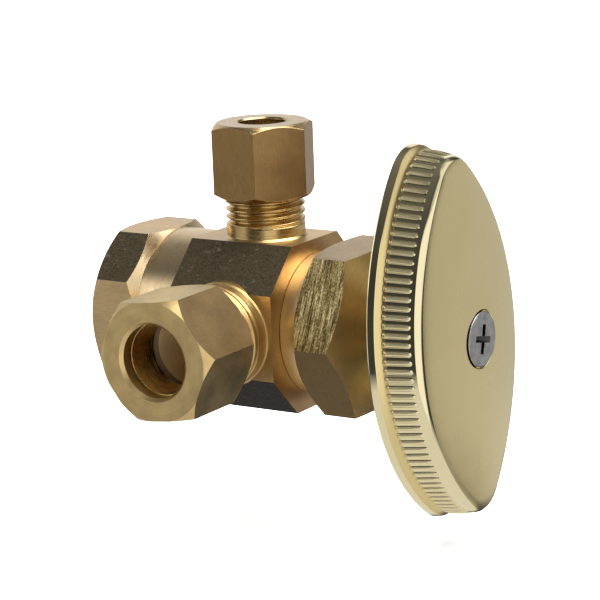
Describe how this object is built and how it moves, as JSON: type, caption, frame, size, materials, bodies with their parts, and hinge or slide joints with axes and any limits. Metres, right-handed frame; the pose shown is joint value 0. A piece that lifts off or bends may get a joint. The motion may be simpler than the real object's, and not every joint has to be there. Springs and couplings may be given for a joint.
{
  "type": "angle stop valve",
  "caption": "Angle stop valve with a female pipe inlet, two compression outlets at right angles and an oval multi-turn handle.",
  "frame": {"origin": "centre of the inlet mouth, on the pipe axis", "axes": "+X along the pipe and stem axis towards the handle, -Y along the 3/8 in outlet, +Z along the 1/4 in outlet"},
  "size_m": [0.0559, 0.0439, 0.0538],
  "materials": {
    "body_brass": "rough brass bar, wide flats satin, narrow flats with dark scale, turned neck bright",
    "bonnet_brass": "rough brass hexagon with coarse tool marks, smooth turned cone",
    "nut_brass": "satin machined brass",
    "sleeve_brass": "bright turned brass",
    "turned_brass": "bright turned brass",
    "handle_plating": "pale gold plating over a zinc casting, polished side, satin face",
    "screw_steel": "plain steel",
    "rubber": "matt black rubber",
    "fibre": "red fibre sheet"
  },
  "bodies": {
    "valve": {"valve_body": "body_brass", "bonnet": "bonnet_brass", "bonnet_gasket": "fibre"},
    "washer": {"seat_washer": "rubber"},
    "spindle": {"stem": "turned_brass", "stem_o_ring_inner": "rubber", "stem_o_ring_outer": "rubber", "washer_screw": "turned_brass", "handle": "handle_plating", "handle_screw": "screw_steel"},
    "sleeve_38": {"sleeve_38": "sleeve_brass"},
    "nut_38": {"nut_38": "nut_brass"},
    "sleeve_14": {"sleeve_14": "sleeve_brass"},
    "nut_14": {"nut_14": "nut_brass"}
  },
  "joints": [
    {"name": "stem_travel", "type": "slide", "parent": "valve", "child": "washer", "axis": [1, 0, 0], "range_m": [0, 0.00317]},
    {"name": "stem_turn", "type": "hinge", "parent": "washer", "child": "spindle", "pos_m": [0, 0, 0], "axis": [1, 0, 0], "range_deg": [0, 900]},
    {"name": "nut_38_travel", "type": "slide", "parent": "valve", "child": "sleeve_38", "axis": [0, -1, 0], "range_m": [-0.00106, 0.00635]},
    {"name": "nut_38_turn", "type": "hinge", "parent": "sleeve_38", "child": "nut_38", "pos_m": [0.0226, 0, 0], "axis": [0, -1, 0], "range_deg": [-360, 2160]},
    {"name": "nut_14_travel", "type": "slide", "parent": "valve", "child": "sleeve_14", "axis": [0, 0, 1], "range_m": [-0.00106, 0.00635]},
    {"name": "nut_14_turn", "type": "hinge", "parent": "sleeve_14", "child": "nut_14", "pos_m": [0.0226, 0, 0], "axis": [0, 0, 1], "range_deg": [-360, 2160]}
  ],
  "couplings": [
    {"joint": "stem_turn", "follows": "stem_travel", "rad_per_m": 4947.4},
    {"joint": "nut_38_turn", "follows": "nut_38_travel", "rad_per_m": 5936.9},
    {"joint": "nut_14_turn", "follows": "nut_14_travel", "rad_per_m": 5936.9}
  ]
}
